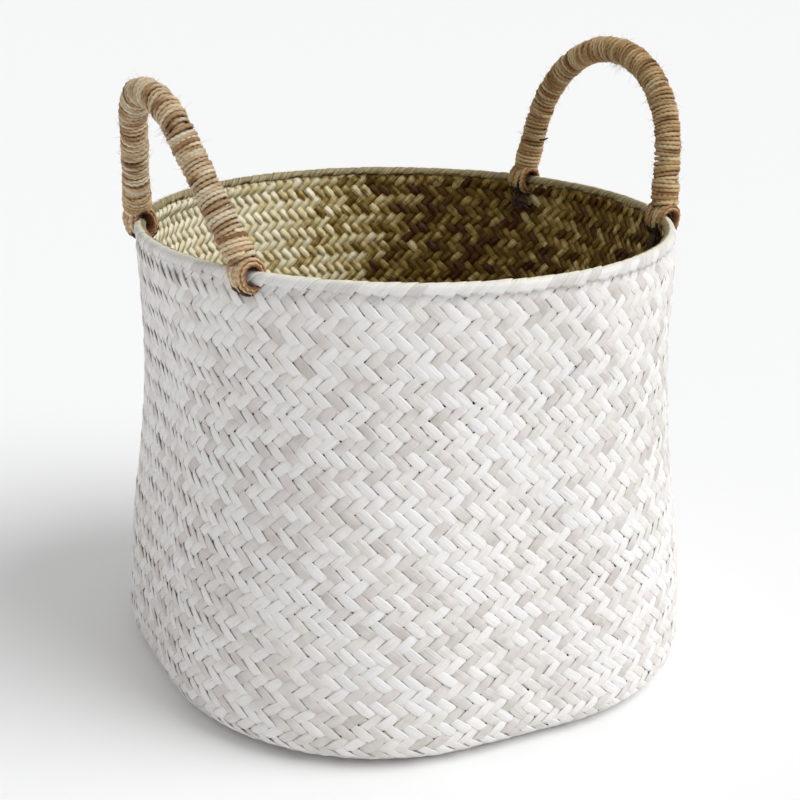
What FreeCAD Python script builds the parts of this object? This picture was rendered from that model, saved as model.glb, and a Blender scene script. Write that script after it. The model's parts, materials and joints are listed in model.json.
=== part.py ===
import FreeCAD, Part
import math
import os

import Sketcher
from FreeCAD import Placement, Rotation, Vector

# Seagrass storage basket: two plaited layers, a folded rim, and two twine-bound handles that swing
# on twine eyes. Origin at the centre of the underside, +Z up, the handles towards -X and +X.

DIMENSIONS = [
    ("foot_half", 168.0, "half width of the flat underside"),
    ("belly_half", 189.5, "half width at the widest height"),
    ("belly_height", 20.0, "height where the turned-up edge ends"),
    ("waist_half", 173.5, "half width at the narrowest height"),
    ("waist_height", 215.0, "height of the waist"),
    ("top_half", 180.4, "half width of the outer layer at its top edge"),
    ("wall_top", 302.5, "height of both layers' top edges"),
    ("round_height", 297.0, "height above which the mouth is round and upright"),
    ("foot_flat", 36.0, "half of each straight side of the square base"),
    ("top_flat", 0.3, "half of each straight side at the round mouth"),
    ("layer", 2.2, "thickness of one plaited layer"),
    ("layer_gap", 0.4, "space between the two layers"),
    ("roll_radius", 178.0, "radius of the circle that the rim core lies on"),
    ("roll_height", 305.0, "height of that circle, and of both swing axes"),
    ("core_thick", 2.2, "radius of the rim core"),
    ("fold_inside", 2.6, "radius of the folded strips' inside"),
    ("fold_outside", 4.2, "radius of the folded strips' outside"),
    ("fold_skirt", 3.0, "how far the fold reaches below the rim core's centre"),
    ("foot_angle", 27.0, "angle from a handle's middle to each of its feet"),
    ("handle_turn", 6.0, "turn of the handles from the square base's sides"),
    ("cane_thick", 5.5, "radius of a handle's cane core"),
    ("wrap_inside", 5.7, "inside radius of the twine wrap"),
    ("wrap_outside", 8.8, "outside radius of the twine wrap"),
    ("left_lean", 14.0, "outward lean of the left handle"),
    ("left_rise", 100.0, "swing axis to the middle of the left handle's crown"),
    ("left_crown", 42.0, "radius of the left handle's crown"),
    ("right_lean", 8.0, "outward lean of the right handle"),
    ("right_rise", 107.0, "swing axis to the middle of the right handle's crown"),
    ("right_crown", 76.0, "radius of the right handle's crown"),
    ("eye_ring", 9.3, "radius of a twine eye about the swing axis"),
    ("eye_thick", 3.0, "radius of the eye's bundle of twine"),
    ("eye_hole_play", 0.8, "play of an eye in its hole through the wall"),
    ("eye_seat_play", 0.15, "play of an eye in the handle's foot"),
    ("foot_rise", 8.5, "height of a leg's lower end above the swing axis"),
    ("saddle_middle", 6.0, "reach of the rim round the swing axis at the eye"),
    ("saddle_end", 24.0, "the same at the far end of the saddle"),
    ("saddle_length", 25.0, "length of the saddle each way from the eye"),
    ("whipping_inside", 8.9, "inside radius of the whipping on a handle's foot"),
    ("whipping_outside", 10.2, "outside radius of that whipping"),
    ("whipping_start", 2.0, "distance up the leg where the whipping starts"),
    ("whipping_length", 15.0, "length of the whipping"),
    ("knot_depth", 17.0, "how far each knot lies below the swing axis"),
    ("knot_deep", 3.8, "half size of a knot away from the wall"),
    ("knot_high", 5.2, "half height of a knot"),
    ("knot_wide", 7.0, "half width of a knot along the wall"),
    ("knot_gap", 0.3, "space between a knot and the wall"),
]

TURN_UP_ANGLES = (0, 15, 30, 45, 60, 75, 90)  # stations round the turned-up edge
WALL_SHARES = (0.15, 0.3, 0.45, 0.6, 0.75, 0.88)  # stations between the belly and the waist
MOUTH_SHARES = (0.0, 0.3, 0.6, 0.8, 0.93, 1.0)  # stations between the waist and the round mouth
KNOT_BULGE_SHARE = 0.5  # of the wall's bulge that a knot stands out by
ABOVE_MOUTH = 1.5  # the hollow's cutter runs this far past the top edge

doc = FreeCAD.newDocument("seagrass_basket")
sheet = doc.addObject("Spreadsheet::Sheet", "sizes")
for row, (alias, number, meaning) in enumerate(DIMENSIONS, 1):
    sheet.set(f"A{row}", alias)
    sheet.set(f"B{row}", str(number))
    sheet.setAlias(f"B{row}", alias)
    sheet.set(f"C{row}", meaning)
doc.recompute()


def size(alias):
    return float(sheet.get(alias))


def bind(target, **expressions):
    """Bind properties of an object to expressions over the sheet's aliases."""
    for name, expression in expressions.items():
        target.setExpression(name, expression)


def cell(alias):
    return f"sizes.{alias}"


def origin_plane(body, role):
    return next(item for item in body.Origin.OriginFeatures if item.Role == role)


def sketch_on(body, name, role):
    sketch = body.newObject("Sketcher::SketchObject", name)
    sketch.AttachmentSupport = [(origin_plane(body, role), "")]
    sketch.MapMode = "FlatFace"
    return sketch


def new_body(name):
    return doc.addObject("PartDesign::Body", name)


# ---- the two plaited layers ---------------------------------------------------------------------


def rounded_square(body, name, height, half, flat):
    """A rounded square at a height; half, flat and height are expressions over the sheet."""
    sketch = sketch_on(body, name, "XY_Plane")
    wide, straight = 180.0, 20.0  # a rough start, which the constraints then set
    bend = wide - straight
    sides = []
    for turn in range(4):
        spin = Rotation(Vector(0, 0, 1), 90 * turn)
        start = spin.multVec(Vector(wide, -straight, 0))
        end = spin.multVec(Vector(wide, straight, 0))
        sides.append(sketch.addGeometry(Part.LineSegment(start, end), False))
    corners = []
    for turn in range(4):
        centre = Rotation(Vector(0, 0, 1), 90 * turn).multVec(Vector(straight, straight, 0))
        circle = Part.Circle(centre, Vector(0, 0, 1), bend)
        start = math.radians(90 * turn)
        corners.append(
            sketch.addGeometry(Part.ArcOfCircle(circle, start, start + math.pi / 2), False)
        )
    for turn in range(4):
        after = (turn + 1) % 4
        sketch.addConstraint(Sketcher.Constraint("Tangent", sides[turn], 2, corners[turn], 1))
        sketch.addConstraint(Sketcher.Constraint("Tangent", corners[turn], 2, sides[after], 1))
        upright = "Vertical" if turn % 2 == 0 else "Horizontal"
        sketch.addConstraint(Sketcher.Constraint(upright, sides[turn]))
    for turn in range(1, 4):
        sketch.addConstraint(Sketcher.Constraint("Equal", corners[0], corners[turn]))
    radius = sketch.addConstraint(Sketcher.Constraint("Radius", corners[0], bend))
    sketch.setExpression(f"Constraints[{radius}]", f"({half}) - ({flat})")
    for turn in range(4):
        across = "DistanceX" if turn % 2 == 0 else "DistanceY"
        order = (-1, 1, sides[turn], 1) if turn < 2 else (sides[turn], 1, -1, 1)
        reach = sketch.addConstraint(Sketcher.Constraint(across, *order, wide))
        sketch.setExpression(f"Constraints[{reach}]", half)
    sketch.setExpression("AttachmentOffset.Base.z", height)
    return sketch


def stations(inset, above=0.0):
    """Height and half width, as expressions, up one surface of the basket, inset from the outside."""
    foot, belly, rise = cell("foot_half"), cell("belly_half"), cell("belly_height")
    waist, waist_height = cell("waist_half"), cell("waist_height")
    top, wall_top = cell("top_half"), cell("wall_top")
    result = []
    for angle in TURN_UP_ANGLES:
        out, down = math.sin(math.radians(angle)), math.cos(math.radians(angle))
        height = f"{rise} - ({rise} - ({inset})) * {down:.6f}"
        half = f"{foot} + ({belly} - {foot} - ({inset})) * {out:.6f}"
        result.append((height, half))
    for share in WALL_SHARES:
        fall = 0.5 + 0.5 * math.cos(math.pi * share)
        height = f"{rise} + ({waist_height} - {rise}) * {share}"
        half = f"{waist} + ({belly} - {waist}) * {fall:.6f} - ({inset})"
        result.append((height, half))
    rim_rise = f"({cell('round_height')} - {waist_height})"
    for share in MOUTH_SHARES:
        height = f"{waist_height} + {rim_rise} * {share}"
        result.append((height, f"{waist} + ({top} - {waist}) * {share**2:.6f} - ({inset})"))
    result.append((wall_top, f"{top} - ({inset})"))
    if above:
        result.append((f"{wall_top} + {above}", f"{top} - ({inset})"))
    return result


def surface_sketches(body, name, inset, above=0.0):
    """The rounded squares of one surface, square at the foot and round at the mouth."""
    sections = []
    for number, (height, half) in enumerate(stations(inset, above)):
        share = f"min(1; ({height}) / {cell('round_height')})"
        flat = (
            f"{cell('top_flat')} + ({cell('foot_flat')} - {cell('top_flat')})"
            f" * sqrt(1 - ({share})^2)"
        )
        sections.append(rounded_square(body, f"{name}_{number}", height, half, flat))
    return sections


def loft(body, kind, name, sections):
    feature = body.newObject(kind, name)
    feature.Profile = sections[0]
    feature.Sections = sections[1:]
    feature.Ruled = True
    return feature


def plaited_layer(name, outside, inside):
    """One layer: a cup whose outside and inside are inset by two expressions."""
    body = new_body(f"{name}_cup")
    outer = surface_sketches(body, f"{name}_outside", outside)
    loft(body, "PartDesign::AdditiveLoft", f"{name}_solid", outer)
    inner = surface_sketches(body, f"{name}_inside", inside, ABOVE_MOUTH)
    loft(body, "PartDesign::SubtractiveLoft", f"{name}_hollow", inner)
    return body


# ---- the rim ------------------------------------------------------------------------------------


def rim_core():
    core = doc.addObject("Part::Torus", "rim_core")
    bind(core, Radius1=cell("roll_radius"), Radius2=cell("core_thick"))
    core.setExpression("Placement.Base.z", cell("roll_height"))
    return core


def rim_fold():
    """The strips of both layers folded over the rim core: an upside-down U turned about +Z."""
    body = new_body("rim_fold")
    sketch = sketch_on(body, "fold_section", "XZ_Plane")
    roll, height = size("roll_radius"), size("roll_height")
    inner, outer = size("fold_inside"), size("fold_outside")
    foot = height - size("fold_skirt")
    centre, up = Vector(roll, height, 0), Vector(0, 0, 1)

    def line(x1, y1, x2, y2):
        return sketch.addGeometry(Part.LineSegment(Vector(x1, y1, 0), Vector(x2, y2, 0)), False)

    def arch(radius):
        return sketch.addGeometry(
            Part.ArcOfCircle(Part.Circle(centre, up, radius), 0, math.pi), False
        )

    far_out = line(roll + outer, foot, roll + outer, height)
    over = arch(outer)
    near_in = line(roll - outer, height, roll - outer, foot)
    near_toe = line(roll - outer, foot, roll - inner, foot)
    near_slot = line(roll - inner, foot, roll - inner, height)
    under = arch(inner)
    far_slot = line(roll + inner, height, roll + inner, foot)
    far_toe = line(roll + inner, foot, roll + outer, foot)
    for first, first_end, second, second_end in (
        (far_out, 2, over, 1),
        (over, 2, near_in, 1),
        (near_slot, 2, under, 2),
        (under, 1, far_slot, 1),
    ):
        sketch.addConstraint(
            Sketcher.Constraint("Tangent", first, first_end, second, second_end)
        )
    for first, second in (
        (near_in, near_toe),
        (near_toe, near_slot),
        (far_slot, far_toe),
        (far_toe, far_out),
    ):
        sketch.addConstraint(Sketcher.Constraint("Coincident", first, 2, second, 1))
    for toe in (near_toe, far_toe):
        sketch.addConstraint(Sketcher.Constraint("Horizontal", toe))
    sketch.addConstraint(Sketcher.Constraint("Vertical", far_out))
    sketch.addConstraint(Sketcher.Constraint("Vertical", near_slot))
    sketch.addConstraint(Sketcher.Constraint("Coincident", over, 3, under, 3))
    sketch.addConstraint(Sketcher.Constraint("Horizontal", near_toe, 1, far_toe, 2))
    for constraint, alias in (
        (Sketcher.Constraint("Radius", over, outer), "fold_outside"),
        (Sketcher.Constraint("Radius", under, inner), "fold_inside"),
        (Sketcher.Constraint("DistanceX", -1, 1, over, 3, roll), "roll_radius"),
        (Sketcher.Constraint("DistanceY", -1, 1, over, 3, height), "roll_height"),
        (Sketcher.Constraint("DistanceY", far_out, 1, over, 3, size("fold_skirt")), "fold_skirt"),
    ):
        place = sketch.addConstraint(constraint)
        sketch.setExpression(f"Constraints[{place}]", cell(alias))
    turned = body.newObject("PartDesign::Revolution", "fold_turned")
    turned.Profile = sketch
    turned.ReferenceAxis = (sketch, ["V_Axis"])
    turned.Angle = 360.0
    return body


# ---- where the handles and their feet are ---------------------------------------------------------


class Handle:
    """One handle's place: its middle's direction round the basket, its lean, and its own frame.

    The frame has its origin midway between the feet on the swing axis, X along that axis and Z up
    the handle's own plane.
    """

    def __init__(self, side, direction):
        self.side = side
        self.middle = direction + size("handle_turn")
        self.half_span = size("roll_radius") * math.sin(math.radians(size("foot_angle")))
        reach = size("roll_radius") * math.cos(math.radians(size("foot_angle")))
        turn = Rotation(Vector(0, 0, 1), self.middle)
        lean = Rotation(Vector(0, 1, 0), size(f"{side}_lean"))
        along = Rotation(Vector(0, 0, 1), 90)
        origin = turn.multVec(Vector(reach, 0, 0)) + Vector(0, 0, size("roll_height"))
        self.frame = Placement(origin, turn * lean * along)

    def feet(self):
        """Each foot's name and its place along the frame's X axis."""
        towards_front = 1 if self.side == "left" else -1
        return (
            ("front", towards_front * self.half_span),
            ("rear", -towards_front * self.half_span),
        )

    def leg_lean(self):
        """Angle between a leg and the frame's Z axis, from the tangent to the crown's circle."""
        drop = size(f"{self.side}_rise") - size(f"{self.side}_crown") - size("foot_rise")
        to_centre = math.hypot(self.half_span, drop)
        rise = math.atan2(drop, self.half_span)
        rise += math.asin(size(f"{self.side}_crown") / to_centre)
        return math.pi / 2 - rise

    def at(self, position, turn=Rotation()):
        """A placement given in the handle's frame, in the basket's frame."""
        return self.frame.multiply(Placement(position, turn))


LEFT = Handle("left", 180.0)
RIGHT = Handle("right", 0.0)
ALONG_X = Rotation(Vector(0, 1, 0), 90)  # turns a primitive's own Z axis onto X


def eye_ring(name, handle, offset, thick):
    """A ring about the swing axis at one foot; thick is its section's radius, as an expression."""
    ring = doc.addObject("Part::Torus", name)
    bind(ring, Radius1=cell("eye_ring"), Radius2=thick)
    ring.Placement = handle.at(Vector(offset, 0, 0), ALONG_X)
    return ring


def saddle(name, handle, offset):
    """The room that the rim needs as it passes under a swinging foot: two cones, narrow at the eye."""
    cones = []
    for number, spin in enumerate((ALONG_X, ALONG_X.inverted())):
        cone = doc.addObject("Part::Cone", f"{name}_{number}")
        bind(
            cone,
            Radius1=cell("saddle_middle"),
            Radius2=cell("saddle_end"),
            Height=cell("saddle_length"),
        )
        cone.Placement = handle.at(Vector(offset, 0, 0), spin)
        cones.append(cone)
    return cones


def fuse(name, shapes):
    joined = doc.addObject("Part::MultiFuse", name)
    joined.Shapes = shapes
    return joined


def cut(name, base, tool):
    result = doc.addObject("Part::Cut", name)
    result.Base = base
    result.Tool = tool
    return result


# ---- a handle -------------------------------------------------------------------------------------


def half_path(body, handle):
    """From the crown's top down one leg to its foot: an arc and a line tangent to it."""
    sketch = sketch_on(body, f"{body.Name}_path", "XZ_Plane")
    rise, crown = size(f"{handle.side}_rise"), size(f"{handle.side}_crown")
    lean = handle.leg_lean()
    centre = Vector(0, rise - crown, 0)
    circle = Part.Circle(centre, Vector(0, 0, 1), crown)
    bend = sketch.addGeometry(Part.ArcOfCircle(circle, lean, math.pi / 2), False)
    touch = centre + Vector(math.cos(lean), math.sin(lean), 0) * crown
    leg = sketch.addGeometry(
        Part.LineSegment(touch, Vector(handle.half_span, size("foot_rise"), 0)), False
    )
    sketch.addConstraint(Sketcher.Constraint("Tangent", bend, 1, leg, 1))
    sketch.addConstraint(Sketcher.Constraint("PointOnObject", bend, 3, -2))
    sketch.addConstraint(Sketcher.Constraint("PointOnObject", bend, 2, -2))
    low = sketch.addConstraint(
        Sketcher.Constraint("DistanceY", -1, 1, leg, 2, size("foot_rise"))
    )
    sketch.setExpression(f"Constraints[{low}]", cell("foot_rise"))
    radius = sketch.addConstraint(Sketcher.Constraint("Radius", bend, crown))
    sketch.setExpression(f"Constraints[{radius}]", cell(f"{handle.side}_crown"))
    top = sketch.addConstraint(Sketcher.Constraint("DistanceY", -1, 1, bend, 2, rise))
    sketch.setExpression(f"Constraints[{top}]", cell(f"{handle.side}_rise"))
    span = sketch.addConstraint(
        Sketcher.Constraint("DistanceX", -1, 1, leg, 2, handle.half_span)
    )
    sketch.setExpression(
        f"Constraints[{span}]", f"{cell('roll_radius')} * sin({cell('foot_angle')} * 1 deg)"
    )
    return sketch


def arched_rod(name, handle, radii):
    """A rod or tube bent into the handle's arch: one half swept, then mirrored."""
    body = new_body(name)
    body.Placement = handle.frame
    path = half_path(body, handle)
    profile = sketch_on(body, f"{name}_profile", "YZ_Plane")
    rise = size(f"{handle.side}_rise")
    for alias in radii:
        circle = Part.Circle(Vector(0, rise, 0), Vector(0, 0, 1), size(alias))
        ring = profile.addGeometry(circle, False)
        profile.addConstraint(Sketcher.Constraint("PointOnObject", ring, 3, -2))
        radius = profile.addConstraint(Sketcher.Constraint("Radius", ring, size(alias)))
        profile.setExpression(f"Constraints[{radius}]", cell(alias))
        height = profile.addConstraint(
            Sketcher.Constraint("DistanceY", -1, 1, ring, 3, rise)
        )
        profile.setExpression(f"Constraints[{height}]", cell(f"{handle.side}_rise"))
    pipe = body.newObject("PartDesign::AdditivePipe", f"{name}_half")
    pipe.Profile = profile
    pipe.Spine = (path, [])
    mirrored = body.newObject("PartDesign::Mirrored", f"{name}_both")
    mirrored.Originals = [pipe]
    mirrored.MirrorPlane = (origin_plane(body, "YZ_Plane"), [""])
    body.Tip = mirrored
    return body


def whipping(name, handle, offset):
    """The short tight binding round one foot of a handle, as a tube along the leg."""
    side = 1 if offset > 0 else -1
    tilt = Rotation(Vector(0, 1, 0), -side * math.degrees(handle.leg_lean()))
    start = Vector(offset, 0, size("foot_rise")) + tilt.multVec(Vector(0, 0, size("whipping_start")))
    place = handle.at(start, tilt)
    tubes = []
    for kind in ("outside", "inside"):
        tube = doc.addObject("Part::Cylinder", f"{name}_{kind}")
        bind(tube, Radius=cell(f"whipping_{kind}"), Height=cell("whipping_length"))
        tube.Placement = place
        tubes.append(tube)
    return cut(f"{name}_tube", *tubes)


def build_handle(handle):
    """The nodes of one handle: core, wrap, and at each foot an eye and a whipping."""
    side = handle.side
    nodes = []
    seats = []
    for foot, offset in handle.feet():
        eye = eye_ring(f"{side}_{foot}_eye", handle, offset, cell("eye_thick"))
        seat_size = f"{cell('eye_thick')} + {cell('eye_seat_play')}"
        seats.append(eye_ring(f"{side}_{foot}_seat", handle, offset, seat_size))
        seats += saddle(f"{side}_{foot}_saddle", handle, offset)
        nodes.append(eye)
    feet_room = fuse(f"{side}_feet_room", seats)
    cane = arched_rod(f"{side}_cane", handle, ["cane_thick"])
    nodes.append(cut(f"{side}_handle_core", cane, feet_room))
    sleeve = arched_rod(f"{side}_sleeve", handle, ["wrap_outside", "wrap_inside"])
    nodes.append(cut(f"{side}_handle_wrap", sleeve, feet_room))
    for foot, offset in handle.feet():
        tube = whipping(f"{side}_{foot}", handle, offset)
        nodes.append(cut(f"{side}_{foot}_whipping", tube, feet_room))
    return nodes


# ---- what ties the handles to the basket ------------------------------------------------------------


def wall_half(height):
    """Half width of the basket's outside between the waist and the round mouth."""
    share = (height - size("waist_height")) / (size("round_height") - size("waist_height"))
    return size("waist_half") + (size("top_half") - size("waist_half")) * share**2


def inner_face():
    return 2 * size("layer") + size("layer_gap")


def eye_holes():
    """The cutters of the four holes that the eyes pass through, just under the rim."""
    rings = []
    thick = f"{cell('eye_thick')} + {cell('eye_hole_play')}"
    for handle in (LEFT, RIGHT):
        for foot, offset in handle.feet():
            rings.append(eye_ring(f"{handle.side}_{foot}_hole", handle, offset, thick))
    return fuse("eye_holes", rings)


def knot(handle, foot, offset):
    """The knot that ends an eye's twine, against the inside of the wall below its hole."""
    angle = math.degrees(math.asin(offset / size("roll_radius")))
    height = size("roll_height") - size("knot_depth")
    share = height / size("round_height")
    flat = size("foot_flat") * math.sqrt(1 - share**2)
    # between two sides a rounded square stands out beyond its half width by up to bulge
    bulge = flat * (math.sqrt(2) - 1) * math.sin(math.radians(2 * abs(angle))) ** 2
    face = wall_half(height + size("knot_high")) + KNOT_BULGE_SHARE * bulge - inner_face()
    centre = face - size("knot_deep") - size("knot_gap")
    turn = Rotation(Vector(0, 0, 1), handle.middle + angle)
    ball = doc.addObject("Part::Ellipsoid", f"{handle.side}_{foot}_knot")
    # an ellipsoid's Radius1 lies along its own Z, Radius2 along X and Radius3 along Y
    bind(
        ball, Radius1=cell("knot_high"), Radius2=cell("knot_deep"), Radius3=cell("knot_wide")
    )
    ball.Placement = Placement(turn.multVec(Vector(centre, 0, 0)) + Vector(0, 0, height), turn)
    return ball


def build_basket():
    """The nodes of the basket itself: two layers, the rim and the four knots."""
    holes = eye_holes()
    inner_outside = f"{cell('layer')} + {cell('layer_gap')}"
    inner_inside = f"2 * {cell('layer')} + {cell('layer_gap')}"
    outer_cup = plaited_layer("outer", "0", cell("layer"))
    inner_cup = plaited_layer("inner", inner_outside, inner_inside)
    nodes = [
        cut("outer_weave", outer_cup, holes),
        cut("inner_weave", inner_cup, holes),
        rim_core(),
        rim_fold(),
    ]
    for handle in (LEFT, RIGHT):
        nodes += [knot(handle, foot, offset) for foot, offset in handle.feet()]
    return nodes


def check(objects):
    """Stop if any object of the document failed, or if a node's shape is missing or broken."""
    for item in doc.Objects:
        if "Invalid" in item.State or "Error" in item.State:
            raise RuntimeError(f"{item.Name} failed: {item.State}")
    for item in objects:
        if item.Shape.isNull() or not item.Shape.isValid() or not item.Shape.Solids:
            raise RuntimeError(f"{item.Label} has no valid solid")


nodes = build_basket() + build_handle(LEFT) + build_handle(RIGHT)
doc.recompute()
check(nodes)
os.makedirs("parts", exist_ok=True)
for node in nodes:
    node.Shape.exportStep(f"parts/{node.Label}.step")
    box = node.Shape.BoundBox
    print(
        f"{node.Label}: {node.Shape.Volume:.0f} mm3, {len(node.Shape.Solids)} solid,"
        f" x {box.XMin:.1f} to {box.XMax:.1f}, y {box.YMin:.1f} to {box.YMax:.1f},"
        f" z {box.ZMin:.1f} to {box.ZMax:.1f}"
    )
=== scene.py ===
"""Looks of the seagrass storage basket: two plaited layers, a folded rim, twine-wrapped handles."""

import json
import math

import bpy
import numpy as np
from mathutils import Matrix, Vector


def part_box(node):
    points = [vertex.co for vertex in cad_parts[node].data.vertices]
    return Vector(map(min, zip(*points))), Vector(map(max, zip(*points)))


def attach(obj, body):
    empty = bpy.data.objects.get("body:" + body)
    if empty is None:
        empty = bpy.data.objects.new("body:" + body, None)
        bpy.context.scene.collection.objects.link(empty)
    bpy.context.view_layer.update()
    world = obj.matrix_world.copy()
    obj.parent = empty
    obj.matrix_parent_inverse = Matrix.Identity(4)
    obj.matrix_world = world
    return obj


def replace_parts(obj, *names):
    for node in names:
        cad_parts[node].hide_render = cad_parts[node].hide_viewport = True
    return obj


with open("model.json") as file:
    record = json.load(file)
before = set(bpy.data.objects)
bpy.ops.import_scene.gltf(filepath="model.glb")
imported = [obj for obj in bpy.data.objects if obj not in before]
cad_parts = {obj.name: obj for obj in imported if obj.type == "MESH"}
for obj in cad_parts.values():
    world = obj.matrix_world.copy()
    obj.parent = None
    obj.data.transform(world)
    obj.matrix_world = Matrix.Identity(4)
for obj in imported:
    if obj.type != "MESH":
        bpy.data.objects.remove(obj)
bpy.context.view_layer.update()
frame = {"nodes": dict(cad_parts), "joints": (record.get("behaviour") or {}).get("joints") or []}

# ---- sizes, in metres and radians unless they say otherwise; the basket's own are the CAD's ----------

FOOT_HALF = 0.168  # half width of the flat underside
BELLY_HALF = 0.1895
BELLY_HEIGHT = 0.020
WAIST_HALF = 0.1735
WAIST_HEIGHT = 0.215
TOP_HALF = 0.1804
ROUND_HEIGHT = 0.297  # the mouth is round and upright above this
FOOT_FLAT = 0.036  # half of each straight side of the base's rounded square
LAYER_MIDDLES = {"outer": 0.0011, "inner": 0.0037}  # how far each layer's middle is inside the skin

SQUARE_HALF = 0.145  # the plaited square of the base reaches this far from its centre
# for each layer: strips of each family along one side of the base, and crossings from there up
WEAVES = {"outer": (30, 38.6), "inner": (36, 46.0)}
ROW_GROWTH = 0.06  # how much taller the rows are at the top of the wall, and lower at its foot
STRIP_TOP = 0.3045  # the strips run this high, under the rim's fold
WAVE = 0.00064  # how far a strip rises and dives through the others
STRIP_THICK = 0.0008
STRIP_CROWN = 0.00022  # how far its face bulges in the middle
STRIP_WIDTH = 1.02  # as a share of the spacing of the strips that run the same way
PINCH = 0.20  # how much narrower a strip is where it dives under the others
TIP = 0.00018  # how far a strip's one edge stands higher than its middle
FAMILY_LIFT = 0.00006  # how far one family of strips rides above the middle, the other below
RIM_SINK = 0.0010  # how far the strips sink in below the rim
GRAIN_WIDTH = 0.0072  # a strip's width for the materials
GRAIN_ROW = 0.0135  # the length of strip from one row to the next, for the materials

ROLL_RADIUS = 0.178  # circle of the rim core
ROLL_HEIGHT = 0.305
FOLD_OUT = 0.0034  # how far the folded strips' middle stands from the core's centre, sideways
FOLD_UP = 0.0037  # and upwards
OUTER_SKIRT = 0.0028  # how far the fold reaches below the core's centre
INNER_SKIRT = 0.0004
SKIRT_DRAWN_IN = 0.0004  # how far the skirt's lower edge is drawn in against the wall
FOLDS = 120
FOLD_SLANT = 5.6  # how far a fold goes round the rim for each metre over the core
FOLD_WIDTH = 1.22  # as a share of the folds' spacing
FOLD_THICK = 0.00060
FOLD_CROWN = 0.00012
FOLD_LEAN = 0.00026  # how far a fold's one edge stands higher than its middle

FOOT_ANGLE = math.radians(27)
FOOT_RISE = 0.0085  # a leg's lower end above the swing axis
HANDLES = {
    "left": {"lean": math.radians(14), "rise": 0.100, "crown": 0.042},
    "right": {"lean": math.radians(8), "rise": 0.107, "crown": 0.076},
}
TWINE_RADIUS = 0.0014
TWINE_LAY = 0.0068  # the length in which its two strands go once round each other
TWINE_PLY = 0.2  # how deep the groove between the two strands is, as a share of the radius
TWINE_SIDES = 10
DARK_RADIUS = 0.0011
WRAP_RADIUS = 0.0075  # from the cane's middle to the twine's middle
WRAP_PITCH = 0.00260  # from one turn to the next
WHIPPING_RADIUS = 0.0083
WHIPPING_START = 0.0044  # from the wrap's end
WHIPPING_PITCH = 0.0028
RIM_ROOM = 0.0064  # from the rim core's middle to the middle of the nearest twine
TWINE_END = 0.0019  # the first and last turn's distance from the wrap's ends
FIBRES = 600
TUFT_FIBRES = 26

PAINTED_LIGHT_SIDE = (-0.88, 0.47, 0.0)  # direction of the inside wall that is painted paler, as painted light where the key light falls
VIEW_AZIMUTH = math.radians(-26)
SKY_LIGHT = 0.54
SKY_SEEN = 0.95
FLOOR_SIZE = 60.0
FLOOR_HEIGHT = -0.0008  # just under the plaited base


# ---- mesh building ---------------------------------------------------------------------------------


def smooth_steps(count, step, amount, source):
    """A random value for each of count places, changing smoothly over step places."""
    knots = source.normal(0.0, amount, int(count / step) + 3)
    return np.interp(np.arange(count) / step, np.arange(len(knots)), knots)


def add_mesh(name, vertices, quads, material, places=None, tones=None, triangles=None):
    """A smooth-shaded mesh object. places and tones feed the material: see Nodes.place and tone."""
    mesh = bpy.data.meshes.new(name)
    loops = [quads.reshape(-1)]
    totals = [np.full(len(quads), 4)]
    if triangles is not None and len(triangles):
        loops.append(triangles.reshape(-1))
        totals.append(np.full(len(triangles), 3))
    loops = np.concatenate(loops).astype(np.int32)
    totals = np.concatenate(totals).astype(np.int32)
    starts = np.concatenate([[0], np.cumsum(totals)[:-1]]).astype(np.int32)
    mesh.vertices.add(len(vertices))
    mesh.vertices.foreach_set("co", vertices.astype(np.float32).reshape(-1))
    mesh.loops.add(len(loops))
    mesh.loops.foreach_set("vertex_index", loops)
    mesh.polygons.add(len(totals))
    mesh.polygons.foreach_set("loop_start", starts)
    mesh.polygons.foreach_set("use_smooth", np.ones(len(totals), bool))
    if places is not None:
        attribute = mesh.attributes.new("strip_place", "FLOAT_VECTOR", "POINT")
        attribute.data.foreach_set("vector", places.astype(np.float32).reshape(-1))
    if tones is not None:
        attribute = mesh.attributes.new("strip_tone", "FLOAT", "POINT")
        attribute.data.foreach_set("value", tones.astype(np.float32))
    mesh.update(calc_edges=True)
    mesh.validate()
    mesh.materials.append(material)
    piece = bpy.data.objects.new(name, mesh)
    bpy.context.scene.collection.objects.link(piece)
    return piece


class Pile:
    """Gathers many small surfaces, each a grid of rings, into one mesh."""

    def __init__(self):
        self.vertices, self.quads, self.triangles = [], [], []
        self.places, self.tones = [], []
        self.count = 0

    def rings(self, points, places, tone, capped=True):
        """points and places are (rings, points round, 3), and each ring is closed on itself."""
        along, around = points.shape[:2]
        index = np.arange(along * around).reshape(along, around) + self.count
        after = np.roll(index, -1, axis=1)
        quads = np.stack([index[:-1], after[:-1], after[1:], index[1:]], axis=-1)
        self.quads.append(quads.reshape(-1, 4))
        if capped:
            for ring, order in ((index[0], -1), (index[-1], 1)):
                fan = [(ring[0], ring[i], ring[i + 1])[::order] for i in range(1, around - 1)]
                self.triangles.append(np.array(fan))
        self.vertices.append(points.reshape(-1, 3))
        self.places.append(places.reshape(-1, 3))
        tones = np.broadcast_to(np.asarray(tone, float).reshape(-1, 1), (along, around))
        self.tones.append(tones.reshape(-1))
        self.count += along * around

    def piece(self, name, material):
        triangles = np.concatenate(self.triangles) if self.triangles else None
        return add_mesh(
            name,
            np.concatenate(self.vertices),
            np.concatenate(self.quads),
            material,
            np.concatenate(self.places),
            np.concatenate(self.tones),
            triangles,
        )


def unit(vectors):
    """The vectors at length 1."""
    return vectors / np.maximum(np.linalg.norm(vectors, axis=-1, keepdims=True), 1e-12)


# ---- the basket's surface ----------------------------------------------------------------------------


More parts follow.
